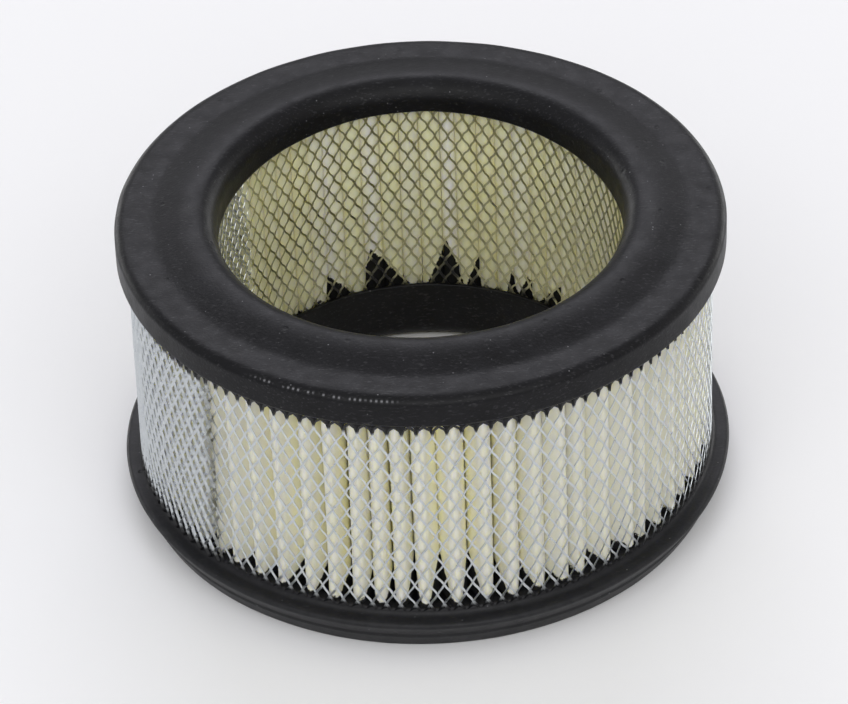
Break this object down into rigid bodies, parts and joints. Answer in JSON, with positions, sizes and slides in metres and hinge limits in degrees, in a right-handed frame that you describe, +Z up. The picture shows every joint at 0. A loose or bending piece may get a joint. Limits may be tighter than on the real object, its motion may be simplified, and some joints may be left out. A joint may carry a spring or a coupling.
{
  "type": "compressed air filter element",
  "caption": "Annular pleated-paper air filter element between expanded-metal sleeves, with moulded black end caps and a sealing bead round its open bore.",
  "frame": {"origin": "centre of the flat underside of the lower end cap", "axes": "+Z up the bore towards the sealing bead; -Y is the side that faces the picture's camera; +X to its right"},
  "size_m": [0.148, 0.148, 0.078],
  "materials": {
    "black_urethane": "satin",
    "zinc_expanded_metal": "bright zinc",
    "filter_paper": "matte"
  },
  "bodies": {
    "root": {"upper_end_cap": "black_urethane", "lower_end_cap": "black_urethane", "outer_sleeve": "zinc_expanded_metal", "inner_sleeve": "zinc_expanded_metal", "pleated_media": "filter_paper", "media_seam_strip": "zinc_expanded_metal"}
  },
  "joints": []
}
